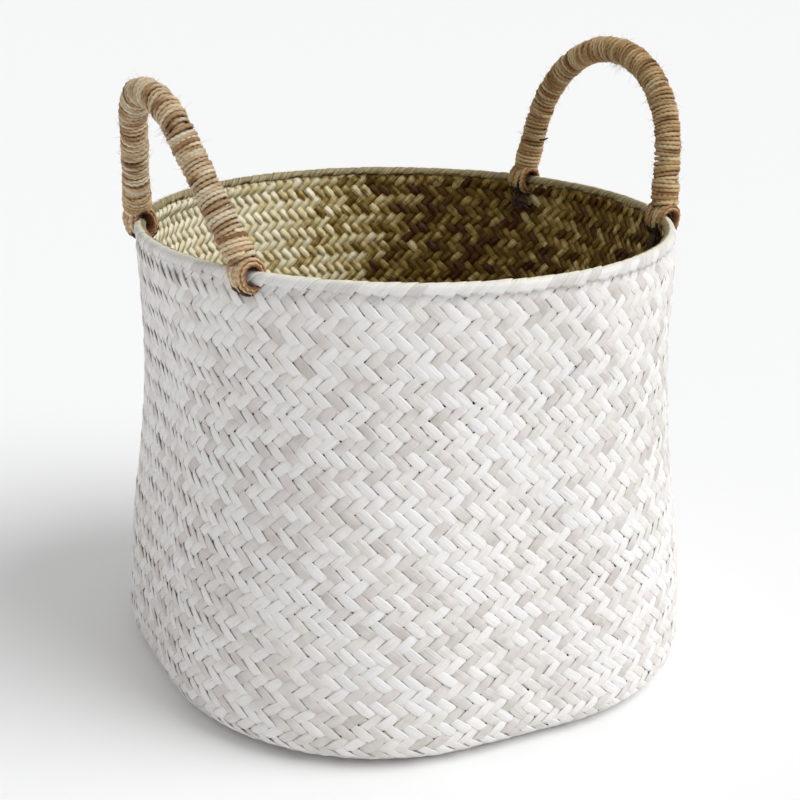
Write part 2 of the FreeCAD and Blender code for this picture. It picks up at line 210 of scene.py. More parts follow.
def meridian(inset):
    """Half width, height and length along one layer's middle, from the base's centre to the top."""
    turn = np.radians(np.linspace(0, 90, 40))
    rise = np.linspace(0, 1, 160)[1:]
    mouth = np.linspace(0, 1, 60)[1:]
    half = [np.linspace(0, FOOT_HALF, 80)[:-1]]
    height = [np.full(79, inset)]
    half.append(FOOT_HALF + (BELLY_HALF - FOOT_HALF - inset) * np.sin(turn))
    height.append(BELLY_HEIGHT - (BELLY_HEIGHT - inset) * np.cos(turn))
    fall = 0.5 + 0.5 * np.cos(np.pi * rise)
    half.append(WAIST_HALF + (BELLY_HALF - WAIST_HALF) * fall - inset)
    height.append(BELLY_HEIGHT + (WAIST_HEIGHT - BELLY_HEIGHT) * rise)
    half.append(WAIST_HALF + (TOP_HALF - WAIST_HALF) * mouth**2 - inset)
    height.append(WAIST_HEIGHT + (ROUND_HEIGHT - WAIST_HEIGHT) * mouth)
    half.append(np.array([TOP_HALF - inset]))
    height.append(np.array([STRIP_TOP]))
    half, height = np.concatenate(half), np.concatenate(height)
    steps = np.hypot(np.diff(half), np.diff(height))
    return half, height, np.concatenate([[0], np.cumsum(steps)])


def outline(angle, half, flat):
    """Radius of a rounded square at an angle from one of its sides' middles."""
    folded = np.abs(np.mod(angle + np.pi / 4, np.pi / 2) - np.pi / 4)
    corner = half - flat
    middle = math.sqrt(2) * flat
    off = folded - np.pi / 4
    bend = middle * np.cos(off) + np.sqrt(np.maximum(corner**2 - (middle * np.sin(off)) ** 2, 0))
    return np.where(half * np.tan(folded) < flat, half / np.cos(folded), bend)


def hollows(angle, height):
    """Slow unevenness of the whole wall, the same for both layers, nothing at the foot and rim."""
    share = np.clip(height / ROUND_HEIGHT, 0, 1)
    swell = np.sin(3 * angle + 0.8 + 9 * height) + 0.8 * np.sin(5 * angle - 1.7 - 17 * height)
    swell = swell + 0.7 * np.sin(8 * angle + 0.4) * np.sin(46 * height)
    return 0.00055 * swell * np.sin(np.pi * share) ** 0.7


class Surface:
    """One layer's middle surface, with the plaiting's own coordinates laid over it.

    side is 0 to 3, across runs along that side and row up from the base's centre, in pitches.
    The base is a square of plaiting, and the wall's rows begin at its edge.
    """

    def __init__(self, inset, side_strips, wall_rows):
        self.half, self.height, self.length = meridian(inset)
        self.square = side_strips / 2
        self.top_row = self.square + wall_rows
        self.wall_rows = wall_rows

    def skin(self, angle, length):
        half = np.interp(length, self.length, self.half)
        height = np.interp(length, self.length, self.height)
        share = np.clip(height / ROUND_HEIGHT, 0, 1)
        flat = FOOT_FLAT * np.sqrt(1 - share**2) * np.clip(half / FOOT_HALF, 0, 1)
        radius = outline(angle, half, flat) + hollows(angle, height)
        return np.stack([radius * np.cos(angle), radius * np.sin(angle), height], axis=-1)

    def point(self, side, across, row, lift):
        side, across, row = (np.array(a, float) for a in np.broadcast_arrays(side, across, row))
        inside = row < self.square
        turn = side * np.pi / 2
        x = row * np.cos(turn) - across * np.sin(turn)
        y = row * np.sin(turn) + across * np.cos(turn)
        reach = np.maximum(np.abs(x), np.abs(y))
        quarter = np.round(np.arctan2(y, x) / (np.pi / 2))
        spin = quarter * np.pi / 2
        across = np.where(inside, -x * np.sin(spin) + y * np.cos(spin), across)
        row = np.where(inside, reach, row)
        side = np.where(inside, quarter, side)
        flat = row < self.square
        spread = np.where(flat, np.maximum(row, 1e-6), self.square)
        angle = side * np.pi / 2 + np.pi / 4 * across / spread
        climb = (row - self.square) / self.wall_rows
        climb = climb * (1 - ROW_GROWTH) + ROW_GROWTH * climb**2
        wall = SQUARE_HALF + climb * (self.length[-1] - SQUARE_HALF)
        length = np.where(flat, row * SQUARE_HALF / self.square, wall)
        place = self.skin(angle, length)
        step = 2e-4
        around = self.skin(angle + step, length) - self.skin(angle - step, length)
        above = self.skin(angle, np.minimum(length + step, self.length[-1]))
        normal = unit(np.cross(around, above - self.skin(angle, length - step)))
        normal[flat] = (0, 0, -1)
        square = np.stack([x, y], axis=-1) * SQUARE_HALF / self.square
        blend = np.where(flat, 1 - (row / self.square) ** 2, 0)[..., None]
        place[..., :2] = place[..., :2] * (1 - blend) + square * blend
        return place + normal * np.asarray(lift)[..., None]


# ---- the plaited layers ------------------------------------------------------------------------------


# a strip's cross-section: its place sideways, in thicknesses from the middle, and its share of crown
FLAT_SECTION = ((-0.5, -0.5, 0), (-0.5, 0.2, 0), (-0.4, 0.5, 0.3), (0.0, 0.5, 1), (0.4, 0.5, 0.3),
                (0.5, 0.2, 0), (0.5, -0.5, 0))
PLAIN_SECTION = ((-0.5, -0.5, 0), (-0.46, 0.5, 0), (0.0, 0.5, 1), (0.46, 0.5, 0), (0.5, -0.5, 0))


def weave_lift(row):
    """How high the strips leaning one way ride at a row: over two, then under two."""
    wave = np.cos(np.pi / 2 * (2 * row - 0.5))
    return np.tanh(2.4 * wave) / math.tanh(2.4)


def ribbon(surface, side, offset, steps, section, source):
    """One strip: down one side's wall, across the base and up the next side's wall."""
    turn_row = offset / 2
    reach = surface.top_row - turn_row
    count = int(2 * reach * 2 * steps)
    way = np.linspace(-reach, reach, count)
    row = turn_row + np.abs(way)
    first = way < 0
    sides = np.where(first, side, side + 1)
    across = np.where(first, offset - row, row - offset)
    # a strip belongs to one family on its first wall and to the other on its second
    flip = -np.tanh(way / 0.12)
    # each float sits a little to one side, stands more or less proud and tips its own way
    wander = smooth_steps(count, 4 * steps, 0.045, source)
    width = STRIP_WIDTH * source.normal(1, 0.02) + smooth_steps(count, 7 * steps, 0.032, source)
    width = np.clip(width, 0.88, 1.06) / math.sqrt(2)
    width = width * (1 - PINCH * (1 - np.abs(weave_lift(row))))
    tip = TIP + 0.00010 * flip + smooth_steps(count, 3 * steps, 0.00023, source)
    uneven = 1 + smooth_steps(count, 2 * steps, 0.22, source)
    swing = WAVE * np.clip(uneven, 0.62, 1.15) * weave_lift(row) * flip
    height = swing + FAMILY_LIFT * flip + smooth_steps(count, 5 * steps, 0.00007, source)
    height = height - RIM_SINK * np.clip((row - surface.top_row + 1.5) / 0.9, 0, 1)
    crown = STRIP_CROWN * (1 + smooth_steps(count, 4 * steps, 0.5, source))
    rings, places = [], []
    along = way * GRAIN_ROW
    for sideways, deep, crowned in section:
        shift = wander + sideways * width
        step_across = np.where(first, 1, -1) * shift / math.sqrt(2)
        step_row = shift / math.sqrt(2)
        lift = height + deep * STRIP_THICK + crowned * crown + 2 * sideways * tip
        rings.append(surface.point(sides, across + step_across, row + step_row, lift))
        places.append(np.stack([np.full(count, sideways * GRAIN_WIDTH), along, 0 * along], -1))
    return np.stack(rings, axis=1), np.stack(places, axis=1)


def plaited_layer(layer, steps, section, material, seed):
    """A layer of plaiting as four pieces, one for the strips that start on each side."""
    source = np.random.default_rng(seed)
    side_strips, wall_rows = WEAVES[layer]
    surface = Surface(LAYER_MIDDLES[layer], side_strips, wall_rows)
    pieces = []
    for side, name in enumerate(("right", "rear", "left", "front")):
        pile = Pile()
        for number in range(side_strips):
            points, places = ribbon(surface, side, number + 0.5, steps, section, source)
            places[..., 2] = source.uniform(0, 60)
            tone = source.uniform(0, 1) + smooth_steps(len(points), 8 * steps, 0.07, source)
            pile.rings(points, places, tone)
        piece = pile.piece(f"{layer}_strips_{name}", material)
        pieces.append(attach(piece, "basket"))
    return pieces


# ---- the rim -----------------------------------------------------------------------------------------


def folded_rim(material, seed):
    """Each strip's end folded over the rim core, slanting, with its edge on the next one."""
    source = np.random.default_rng(seed)
    pile = Pile()
    arc = np.linspace(0, np.pi, 13)[1:-1]
    outside, inside = np.linspace(-OUTER_SKIRT, 0, 3), np.linspace(0, -INNER_SKIRT, 3)
    out = np.concatenate([np.full(3, FOLD_OUT), FOLD_OUT * np.cos(arc), np.full(3, -FOLD_OUT)])
    up = np.concatenate([outside, FOLD_UP * np.sin(arc) ** 0.8, inside])
    facing = unit(np.stack([out / FOLD_OUT, np.clip(up / FOLD_UP, 0, 1)], axis=-1))
    way = np.concatenate([[0], np.cumsum(np.hypot(np.diff(out), np.diff(up)))])
    # the outside skirt is drawn in against the wall
    out = out - SKIRT_DRAWN_IN * np.clip(-up / OUTER_SKIRT, 0, 1) * np.sign(out)
    top = np.argmax(up)
    way = way - way[top]
    for number in range(FOLDS):
        slant = FOLD_SLANT * source.normal(1, 0.06)
        wide = FOLD_WIDTH * source.normal(1, 0.04)
        lean = FOLD_LEAN + source.normal(0, 0.00006)
        grow = source.normal(0, 0.00012)
        ragged = source.normal(0, 0.00040)
        rings, places = [], []
        for sideways, deep, crowned in FLAT_SECTION:
            shift = number + 0.5 + sideways * wide
            angle = shift * 2 * np.pi / FOLDS + way * slant
            lift = deep * FOLD_THICK + crowned * FOLD_CROWN + 2 * sideways * lean + grow
            spread = ROLL_RADIUS + out + facing[:, 0] * lift
            # the bottom edge follows the strip's slant, so it ends in a row of teeth
            end = np.where(up < 0, up * (1 + 1.1 * sideways) + ragged, up)
            height = ROLL_HEIGHT + end + facing[:, 1] * lift
            rings.append(
                np.stack([spread * np.cos(angle), spread * np.sin(angle), height], axis=-1)
            )
            spot = [np.full(len(way), sideways * 0.013), way, np.full(len(way), number)]
            places.append(np.stack(spot, axis=-1))
        pile.rings(np.stack(rings, axis=1), np.stack(places, axis=1), source.uniform(0, 1))
    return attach(pile.piece("rim_fold_strips", material), "basket")


# ---- twine ---------------------------------------------------------------------------------------------


def tube_rings(points, radius, sides, ply=0.0, lay=0.009, closed=False, outward=None):
    """Rings along a line of points. ply gives two strands twisted round each other, lay apart.

    The third place coordinate is 1 on the side that faces outward and -1 on the side away, and lower in the
    groove between the two strands; the twine material paints shade where it is low.
    """
    ahead = np.gradient(points, axis=0)
    if closed:
        ahead[0] = ahead[-1] = points[1] - points[-2]
    ahead = unit(ahead)
    length = np.concatenate([[0], np.cumsum(np.linalg.norm(np.diff(points, axis=0), axis=1))])
    side = np.zeros_like(points)
    start = np.cross(ahead[0], (0.31, 0.87, 0.39))
    side[0] = start / np.linalg.norm(start)
    for i in range(1, len(points)):
        turned = side[i - 1] - ahead[i] * np.dot(side[i - 1], ahead[i])
        side[i] = turned / np.linalg.norm(turned)
    other = np.cross(ahead, side)
    angle = np.linspace(0, 2 * np.pi, sides, endpoint=False)
    radius = np.broadcast_to(np.asarray(radius, float), (len(points),))
    twist = 2 * np.pi * length / lay
    lobes = 1 + ply * np.cos(2 * (angle[None, :] - twist[:, None]))
    spoke = (
        np.cos(angle)[None, :, None] * side[:, None, :]
        + np.sin(angle)[None, :, None] * other[:, None, :]
    )
    rings = points[:, None, :] + (radius[:, None] * lobes)[..., None] * spoke
    swirl = (angle[None, :] - twist[:, None]) * radius[:, None]
    shown = np.ones_like(swirl) if outward is None else np.sum(spoke * outward[:, None, :], axis=-1)
    shown = shown - 0.45 * (1 - (lobes - 1 + ply) / max(2 * ply, 1e-6)) * (ply > 0)
    along = np.broadcast_to(length[:, None], swirl.shape)
    return rings, np.stack([swirl, along, shown], axis=-1)


class Handle:
    """One handle's own frame and arch, taken from its joint in the record."""

    def __init__(self, side):
        joint = next(j for j in frame["joints"] if j["name"] == f"{side}_handle_swing")
        self.side = side
        self.body = f"{side}_handle"
        self.origin = np.array(joint["pos_m"], float)
        self.along = np.array(joint["axis"], float)
        outward = unit(self.origin * (1, 1, 0))
        lean = HANDLES[side]["lean"]
        self.up = outward * math.sin(lean) + np.array([0, 0, 1]) * math.cos(lean)
        self.face = np.cross(self.along, self.up)
        self.rise, self.crown = HANDLES[side]["rise"], HANDLES[side]["crown"]
        self.half_span = ROLL_RADIUS * math.sin(FOOT_ANGLE)
        drop = self.rise - self.crown - FOOT_RISE
        to_centre = math.hypot(self.half_span, drop)
        elevation = math.atan2(drop, self.half_span) + math.asin(self.crown / to_centre)
        self.leg_lean = math.pi / 2 - elevation
        self.leg = math.sqrt(to_centre**2 - self.crown**2)
        self.length = 2 * self.leg + 2 * elevation * self.crown

    def place(self, along, up, face=0.0):
        along, up, face = np.broadcast_arrays(*(np.asarray(v, float) for v in (along, up, face)))
        return (
            self.origin
            + along[..., None] * self.along
            + up[..., None] * self.up
            + face[..., None] * self.face
        )

    def arch(self, length):
        """Place and direction along the arch's middle line, in the handle's plane."""
        length = np.asarray(length, float)
        lean = self.leg_lean
        bend = (length - self.leg) / self.crown
        end = self.length - length
        on_leg, on_far = length < self.leg, end < self.leg
        spin = np.pi - lean - bend
        x = self.crown * np.cos(spin)
        z = self.rise - self.crown + self.crown * np.sin(spin)
        dx, dz = np.sin(spin), -np.cos(spin)
        x = np.where(on_leg, -self.half_span + length * math.sin(lean), x)
        z = np.where(on_leg, FOOT_RISE + length * math.cos(lean), z)
        x = np.where(on_far, self.half_span - end * math.sin(lean), x)
        z = np.where(on_far, FOOT_RISE + end * math.cos(lean), z)
        dx = np.where(on_leg | on_far, math.sin(lean), dx)
        dz = np.where(on_leg, math.cos(lean), np.where(on_far, -math.cos(lean), dz))
        return x, z, dx, dz

    def winding(self, length, turn, radius):
        """Points at an angle turn round the arch's middle line."""
        x, z, dx, dz = self.arch(length)
        out_x, out_z = -dz, dx
        sway = radius * np.cos(turn)
        return self.place(x + out_x * sway, z + out_z * sway, radius * np.sin(turn))

    def clear_of_rim(self, points):
        """Points moved away from the swing axis where the bulging rim would meet them in a swing."""
        offset = points - self.origin
        along = offset @ self.along
        spoke = offset - along[..., None] * self.along
        reach = np.linalg.norm(spoke, axis=-1)
        bulge = np.sqrt(np.maximum(ROLL_RADIUS**2 - along**2, 0)) - ROLL_RADIUS * math.cos(FOOT_ANGLE)
        further = np.maximum(1, (bulge + RIM_ROOM) / np.maximum(reach, 1e-6))
        return points + spoke * (further - 1)[..., None]


def wound_twine(handle, material, source):
    """The jute twine wound round the whole handle, turn against turn and a little uneven."""
    turns = int(handle.length / WRAP_PITCH)
    per_turn = 32
    count = turns * per_turn
    pace = np.clip(1 + smooth_steps(count, per_turn * 1.3, 0.24, source), 0.6, 1.6)
    # its first and last turns lie almost level
    pace[:per_turn] *= 0.2
    pace[-per_turn:] *= 0.2
    length = np.cumsum(pace)
    length = TWINE_END + length / length[-1] * (handle.length - 2 * TWINE_END)
    turn = np.linspace(0, 2 * np.pi * turns, count)
    tilt = smooth_steps(count, per_turn * 2.5, 0.0011, source) * np.cos(turn)
    bumps = np.clip(smooth_steps(count, per_turn * 0.5, 0.00034, source), -0.001, 0.0005)
    length = np.clip(length + tilt, TWINE_END, handle.length - TWINE_END)
    points = handle.clear_of_rim(handle.winding(length, turn, WRAP_RADIUS + bumps))
    outward = unit(points - handle.winding(length, turn, 0))
    thick = TWINE_RADIUS * (1 + smooth_steps(count, per_turn * 0.3, 0.12, source))
    rings, places = tube_rings(points, thick, TWINE_SIDES, TWINE_PLY, TWINE_LAY, outward=outward)
    pile = Pile()
    pile.rings(rings, places, 0.5 + smooth_steps(count, per_turn * 0.22, 0.26, source))
    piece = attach(pile.piece(f"{handle.side}_wound_twine", material), handle.body)
    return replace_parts(piece, f"{handle.side}_handle_wrap")


def whipping(handle, foot, at_far_end, material, source):
    """A few looser turns over the wrap at one foot."""
    turns, per_turn = 5, 28
    count = turns * per_turn
    turn = np.linspace(0, 2 * np.pi * turns, count)
    climb = turn / (2 * np.pi) * WHIPPING_PITCH
    length = WHIPPING_START + climb + 0.0011 * np.sin(turn + source.uniform(0, 6))
    length = handle.length - length if at_far_end else length
    radius = WHIPPING_RADIUS + smooth_steps(count, per_turn * 0.5, 0.0003, source)
    points = handle.clear_of_rim(handle.winding(length, turn, radius))
    outward = unit(points - handle.winding(length, turn, 0))
    rings, places = tube_rings(
        points, TWINE_RADIUS, TWINE_SIDES, TWINE_PLY, TWINE_LAY, outward=outward
    )
    pile = Pile()
    pile.rings(rings, places, 0.45 + smooth_steps(count, per_turn, 0.25, source))
    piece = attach(pile.piece(f"{handle.side}_{foot}_binding", material), handle.body)
    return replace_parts(piece, f"{handle.side}_{foot}_whipping")


def eye(handle, foot, offset, materials, source):
    """The turns of twine that tie one foot over the rim, about the swing axis."""
    turn = np.linspace(0, 2 * np.pi, 61)
    strands = {"dark": Pile(), "jute": Pile()}
    # each loop's twine, its place along the swing axis in millimetres, and its reach from the axis
    layout = [("jute", along, 0.0060) for along in (-8.3, -6.2, -3.8, -1.3, 1.2, 3.7, 6.1, 8.2)]
    layout += [("jute", along, 0.0080) for along in (-7.2, -4.9, -2.5, 0.1, 2.6, 5.0, 7.1)]
    layout += [("jute", along, 0.0092) for along in (-3.7, -1.3, 1.3, 3.8)]
    layout += [("dark", along, 0.0087) for along in (-5.0, -2.5, 0.1, 2.5, 4.9)]
    for kind, along, reach in layout:
        wobble = source.uniform(0, 2 * np.pi)
        thick = TWINE_RADIUS * 0.95 if kind == "jute" else DARK_RADIUS
        ring = reach + 0.0002 * np.sin(3 * turn + wobble)
        if kind == "dark":
            # it lies under the jute next to the leg, and over it below the rim
            ring = ring + 0.0018 * np.tanh(-2.5 * np.cos(turn) - 0.6)
        else:
            # it bulges up to meet the leg's own turns, most where the leg is widest
            bulge = 0.0010 if abs(along) < 4.5 else 0.0030
            ring = ring + bulge * np.clip(np.cos(turn), 0, 1) ** 1.5
        shift = offset + along * 0.001 + 0.0005 * np.sin(2 * turn + wobble)
        points = handle.place(shift, ring * np.cos(turn), ring * np.sin(turn))
        outward = unit(points - handle.place(shift, 0 * turn, 0 * turn))
        rings, places = tube_rings(
            points, thick, TWINE_SIDES, TWINE_PLY, TWINE_LAY, closed=True, outward=outward
        )
        strands[kind].rings(rings, places, source.uniform(0.25, 0.75), capped=False)
    pieces = []
    for kind, slot in (("dark", "dark_twine"), ("jute", "jute_twine")):
        piece = strands[kind].piece(f"{handle.side}_{foot}_{kind}_loops", materials[kind])
        pieces.append(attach(piece, handle.body))
    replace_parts(pieces[0], f"{handle.side}_{foot}_eye")
    return pieces


def knot(handle, foot, material, source):
    """A bulky overhand knot, its leads from the rim and its two short ends, inside the wall."""
    low, high = (np.array(corner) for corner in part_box(f"{handle.side}_{foot}_knot"))
    inward = unit(-(low + high) / 2 * (1, 1, 0))
    centre = (low + high) / 2 + inward * 0.0002
    along = np.array([-inward[1], inward[0], 0.0])
    up = np.array([0.0, 0.0, 1.0])
    turn = np.linspace(0, 2 * np.pi, 97)
    reach = 2 + np.cos(3 * turn)
    points = (
        centre
        + np.outer(0.00200 * reach * np.cos(2 * turn), along)
        + np.outer(0.00140 * reach * np.sin(2 * turn), up)
        + np.outer(0.00150 * np.sin(3 * turn), inward)
    )
    pile = Pile()
    rings, places = tube_rings(points, 0.0016, 8, ply=0.1, lay=0.006, closed=True)
    pile.rings(rings, places, 0.4, capped=False)
    way = np.linspace(0, 1, 12)[:, None]
    for lengthwise, droop in ((0.010, -0.003), (-0.008, -0.006)):
        bend = along * lengthwise * way + up * droop * way**1.5 + inward * 0.003 * way
        rings, places = tube_rings(centre + bend, 0.0011 * (1 - 0.25 * way[:, 0]), 8, ply=0.1)
        pile.rings(rings, places, source.uniform(0.3, 0.7))
    for aside in (-0.0030, -0.0008, 0.0016, 0.0036):
        lead = centre + along * aside * (1 + 0.5 * way) + up * 0.0110 * way - inward * 0.0012 * way
        rings, places = tube_rings(lead, 0.00105, 8, ply=0.1)
        pile.rings(rings, places, source.uniform(0.3, 0.7))
    name = f"{handle.side}_{foot}_tied_knot"
    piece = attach(pile.piece(name, material), "basket")
    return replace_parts(piece, f"{handle.side}_{foot}_knot")


def fuzz(handle, material, source, tuft=None):
    """Short loose fibres standing off the wound twine, with a tuft at one place if asked."""
    pile = Pile()
    way = np.linspace(0, 1, 5)[:, None]
    spots = [
        (source.uniform(0.012, handle.length - 0.012), source.uniform(0, 2 * np.pi), 0.0055)
        for _ in range(FIBRES)
    ]
    if tuft is not None:
        spots += [
            (source.normal(tuft[0], 0.004), source.normal(tuft[1], 0.25), 0.0085)
            for _ in range(TUFT_FIBRES)
        ]
    for length, turn, longest in spots:
        root = handle.winding(length, turn, WRAP_RADIUS + 0.0006)
        tip = handle.winding(length, turn, WRAP_RADIUS + 0.0030)
        out = unit(tip - root)
        drift = unit(source.normal(0, 1, 3))
        reach = source.uniform(0.35, 1.0) * longest
        line = root + way * out * reach * 0.6 + way**2 * drift * reach * 0.9
        rings, places = tube_rings(line, 0.00014 * (1.15 - way[:, 0]), 3)
        pile.rings(rings, places, source.uniform(0.2, 1))
    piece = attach(pile.piece(f"{handle.side}_loose_fibres", material), handle.body)
    return piece


def twine_stub(handle, length, turn, material):
    """The short dark end of a twine that sticks out between two turns."""
    way = np.linspace(0, 1, 7)[:, None]
    root = handle.winding(length, turn, WRAP_RADIUS)
    out = unit(handle.winding(length, turn, WRAP_RADIUS + 0.002) - root)
    line = root + way * out * 0.0100 + way**1.5 * handle.up * 0.0042
    rings, places = tube_rings(line, 0.0008 * (1.1 - 0.4 * way[:, 0]), 8, ply=0.1, lay=0.005)
    pile = Pile()
    pile.rings(rings, places, 0.2)
    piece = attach(pile.piece(f"{handle.side}_twine_end", material), handle.body)
    return piece


# ---- materials -----------------------------------------------------------------------------------------


class Nodes:
    """A material's node tree, with short ways to add and join nodes."""

    def __init__(self, name):
        self.material = bpy.data.materials.new(name)
        self.material.use_nodes = True
        self.tree = self.material.node_tree
        self.shader = self.tree.nodes["Principled BSDF"]

    def add(self, kind, inputs=None, **settings):
        node = self.tree.nodes.new(kind)
        for key, value in settings.items():
            setattr(node, key, value)
        for key, value in (inputs or {}).items():
            if isinstance(value, bpy.types.NodeSocket):
                self.tree.links.new(value, node.inputs[key])
            else:
                node.inputs[key].default_value = value
        return node

    def join(self, output, name):
        self.tree.links.new(output, self.shader.inputs[name])

    def math(self, operation, first, second):
        return self.add("ShaderNodeMath", {0: first, 1: second}, operation=operation).outputs[0]

    def place(self, scale):
        """The strip's own coordinates: across, along, and a number of its own, scaled."""
        spot = self.add("ShaderNodeAttribute", attribute_name="strip_place").outputs["Vector"]
        sized = self.add("ShaderNodeVectorMath", {0: spot, 1: scale}, operation="MULTIPLY")
        return sized.outputs["Vector"]

    def tone(self):
        """The strip's or twine's own random tone, 0 to 1 or so."""
        return self.add("ShaderNodeAttribute", attribute_name="strip_tone").outputs["Fac"]

    def set(self, **values):
        """Plain shader values, such as Roughness or Sheen_Weight."""
        for key, value in values.items():
            self.shader.inputs[key.replace("_", " ")].default_value = value

    def noise(self, vector, scale, detail=3.0, roughness=0.6):
        values = {"Vector": vector, "Scale": scale, "Detail": detail, "Roughness": roughness}
        return self.add("ShaderNodeTexNoise", values).outputs["Fac"]

    def object_place(self):
        return self.add("ShaderNodeTexCoord").outputs["Object"]

    def ramp(self, factor, stops):
        ramp = self.add("ShaderNodeValToRGB", {"Fac": factor})
        while len(ramp.color_ramp.elements) < len(stops):
            ramp.color_ramp.elements.new(0.5)
        for element, (position, colour) in zip(ramp.color_ramp.elements, stops):
            element.position = position
            element.color = (*colour, 1)
        return ramp.outputs["Color"]

    def mix(self, factor, first, second, blend="MIX"):
        values = {0: factor, 6: first, 7: second}
        node = self.add("ShaderNodeMix", values, data_type="RGBA", blend_type=blend)
        return node.outputs[2]

    def bump(self, height, distance, strength, normal=None):
        values = {"Height": height, "Distance": distance, "Strength": strength}
        if normal is not None:
            values["Normal"] = normal
        return self.add("ShaderNodeBump", values).outputs["Normal"]


def seagrass_grain(nodes):
    """Fine ribs along a strip, a few folds along it, and slow creases across it."""
    ribs = nodes.noise(nodes.place((2600, 60, 1)), 1.0, 2.0)
    folds = nodes.noise(nodes.place((520, 45, 1)), 1.0, 2.0)
    creases = nodes.noise(nodes.place((150, 330, 1)), 1.0, 3.0)
    return ribs, folds, creases


def seagrass_relief(nodes, ribs, folds, creases, strength):
    """The same three as relief, from the slow creases up to the fine ribs."""
    soft = nodes.bump(creases, 0.0008, 0.55 * strength)
    folded = nodes.bump(folds, 0.0011, 0.75 * strength, soft)
    nodes.join(nodes.bump(ribs, 0.00025, 0.6 * strength, folded), "Normal")


def painted_seagrass():
    """Seagrass under a thin, worn coat of white paint: glossy ridges, greyer folds."""
    nodes = Nodes("painted_seagrass")
    ribs, folds, creases = seagrass_grain(nodes)
    tone = nodes.tone()
    patch = nodes.noise(nodes.place((45, 75, 1)), 1.0, 2.0)
    mixed = nodes.math("ADD", nodes.math("MULTIPLY", tone, 0.45), nodes.math("MULTIPLY", patch, 0.62))
    paint = nodes.ramp(
        mixed,
        [(0.22, (0.590, 0.545, 0.505)), (0.38, (0.715, 0.670, 0.645)), (0.52, (0.785, 0.760, 0.720)),
         (0.66, (0.860, 0.840, 0.815)), (0.82, (0.825, 0.820, 0.815))],
    )
    lined = nodes.ramp(folds, [(0.30, (1, 1, 1)), (0.44, (0, 0, 0))])
    greyed = nodes.mix(nodes.math("MULTIPLY", lined, 0.30), paint, (0.60, 0.575, 0.53, 1))
    bare = nodes.ramp(
        nodes.noise(nodes.place((330, 110, 3)), 1.0, 4.0, 0.7),
        [(0.66, (0, 0, 0)), (0.80, (1, 1, 1))],
    )
    worn = nodes.mix(nodes.math("MULTIPLY", bare, 0.55), greyed, (0.52, 0.47, 0.34, 1))
    nodes.join(worn, "Base Color")
    nodes.join(
        nodes.ramp(creases, [(0.3, (0.34, 0.34, 0.34)), (0.75, (0.56, 0.56, 0.56))]), "Roughness"
    )
    seagrass_relief(nodes, ribs, folds, creases, 0.8)
    nodes.set(Specular_IOR_Level=0.5)
    return nodes.material


def natural_seagrass(name):
    """Dried seagrass, each strip its own colour, from cream through olive to red-brown, with painted light
    making one side of the inside paler.
    """
    nodes = Nodes(name)
    ribs, folds, creases = seagrass_grain(nodes)
    tone = nodes.tone()
    streak = nodes.noise(nodes.place((420, 30, 5)), 1.0, 3.0)
    patch = nodes.noise(nodes.place((30, 85, 1)), 1.0, 2.0)
    mixed = nodes.math("ADD", nodes.math("MULTIPLY", tone, 0.30), nodes.math("MULTIPLY", streak, 0.30))
    mixed = nodes.math("ADD", mixed, nodes.math("MULTIPLY", patch, 0.56))
    # painted light: one side of the inside is coloured paler, towards straw, where the key light falls on
    # it
    turned = nodes.add(
        "ShaderNodeVectorMath", {0: nodes.object_place(), 1: PAINTED_LIGHT_SIDE}, operation="DOT_PRODUCT"
    ).outputs["Value"]
    painted_light = nodes.add("ShaderNodeMapRange", {0: turned, 1: 0.005, 2: 0.165, 3: 0.0, 4: 0.50})
    mixed = nodes.math("ADD", mixed, painted_light.outputs[0])
    colour = nodes.ramp(
        mixed,
        [(0.34, (0.035, 0.008, 0.003)), (0.45, (0.105, 0.034, 0.007)), (0.53, (0.120, 0.070, 0.006)),
         (0.61, (0.200, 0.120, 0.016)), (0.70, (0.40, 0.275, 0.080)), (0.82, (0.81, 0.69, 0.38)),
         (1.0, (0.97, 0.90, 0.66))],
    )
    nodes.join(colour, "Base Color")
    nodes.join(
        nodes.ramp(creases, [(0.3, (0.30, 0.30, 0.30)), (0.8, (0.58, 0.58, 0.58))]), "Roughness"
    )
    nodes.set(Specular_IOR_Level=0.3)
    seagrass_relief(nodes, ribs, folds, creases, 1.0)
    return nodes.material


def rim_seagrass():
    """Folded ends: painted on the outside, cream over the top, natural where they turn inside."""
    nodes = Nodes("rim_seagrass")
    ribs, folds, creases = seagrass_grain(nodes)
    way = nodes.add("ShaderNodeSeparateXYZ", {0: nodes.place((1, 1, 1))}).outputs["Y"]
    edge = nodes.math("ADD", way, nodes.math("MULTIPLY", creases, 0.0018))
    scaled = nodes.math("ADD", nodes.math("MULTIPLY", edge, 100.0), 0.5)
    tone = nodes.tone()
    worn = nodes.math("ADD", nodes.math("MULTIPLY", tone, 0.5), nodes.math("MULTIPLY", folds, 0.5))
    paint = nodes.ramp(
        worn,
        [(0.15, (0.56, 0.53, 0.50)), (0.55, (0.78, 0.765, 0.74)), (0.9, (0.86, 0.85, 0.825))],
    )
    streak = nodes.noise(nodes.place((500, 60, 9)), 1.0, 3.0)
    straw = nodes.ramp(streak, [(0.35, (0.12, 0.075, 0.03)), (0.65, (0.48, 0.41, 0.21))])
    cream = nodes.mix(
        nodes.ramp(scaled, [(0.28, (0, 0, 0)), (0.48, (1, 1, 1))]), paint, (0.80, 0.765, 0.64, 1)
    )
    inside = nodes.ramp(scaled, [(0.60, (0, 0, 0)), (0.68, (1, 1, 1))])
    nodes.join(nodes.mix(inside, cream, straw), "Base Color")
    nodes.set(Roughness=0.5)
    seagrass_relief(nodes, ribs, folds, creases, 0.8)
    return nodes.material


